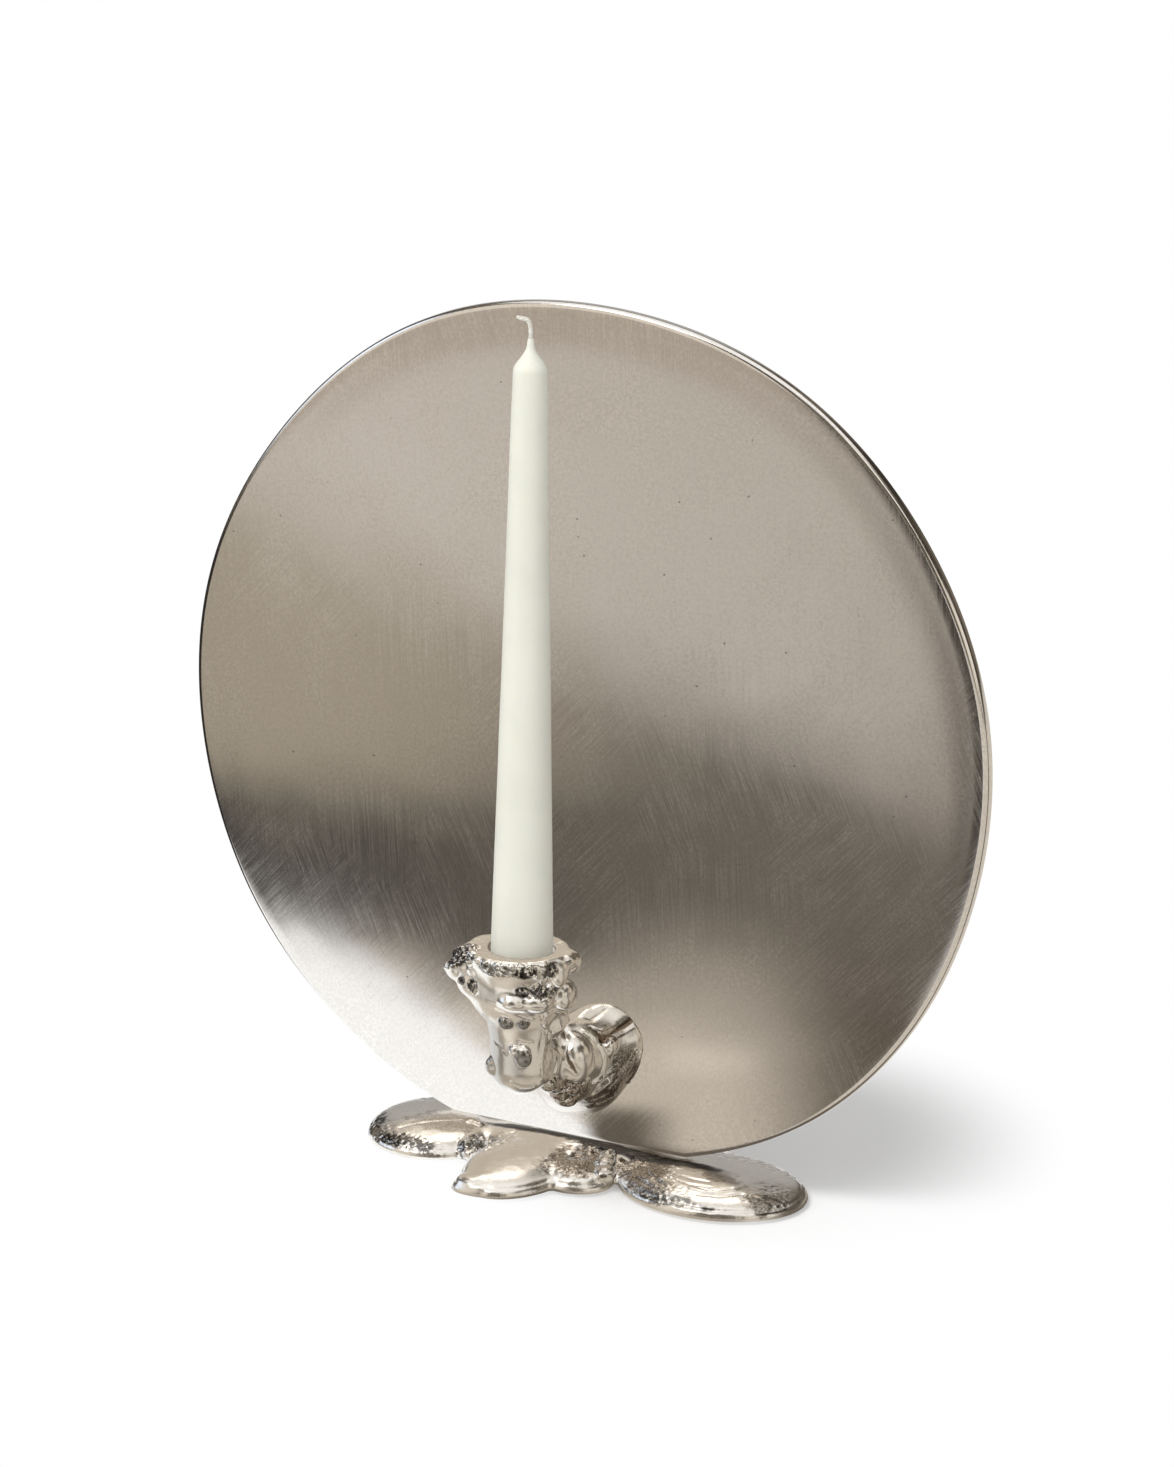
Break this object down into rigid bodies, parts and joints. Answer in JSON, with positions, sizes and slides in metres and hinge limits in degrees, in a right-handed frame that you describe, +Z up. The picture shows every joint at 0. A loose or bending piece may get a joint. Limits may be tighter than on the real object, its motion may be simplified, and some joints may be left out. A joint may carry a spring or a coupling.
{
  "type": "sphere candle holder",
  "caption": "Candle holder: a round reflector disc stands on a cast foot of flat lobes, with a lumpy cast cup on an arm in front of it that holds a taper candle.",
  "frame": {"origin": "on the table, under the middle of the object's bounding box", "axes": "+Z up, X along the disc, -Y towards the side that the candle stands on"},
  "size_m": [0.3166, 0.1212, 0.3225],
  "materials": {
    "brushed_nickel": "cast, nickel plated, satin brushed",
    "polished_nickel": "cast, nickel plated, polished",
    "felt": "pressed felt",
    "screw_steel": "zinc plated",
    "candle_wax": "smooth stearin wax, slightly translucent",
    "wick_cotton": "braided cotton, waxed"
  },
  "bodies": {
    "holder": {"foot_casting": "polished_nickel", "reflector_disc": "brushed_nickel", "cup_arm_casting": "polished_nickel", "felt_pad_left": "felt", "felt_pad_front": "felt", "felt_pad_right": "felt", "felt_pad_rear_left": "felt", "felt_pad_rear_right": "felt", "arm_screw_lower": "screw_steel", "arm_washer_lower": "screw_steel", "arm_screw_upper": "screw_steel", "arm_washer_upper": "screw_steel"},
    "candle": {"candle_wax": "candle_wax", "candle_wick": "wick_cotton"}
  },
  "joints": [
    {"name": "candle_lift", "type": "slide", "parent": "holder", "child": "candle", "axis": [0, 0, 1], "range_m": [0, 0.05]}
  ]
}
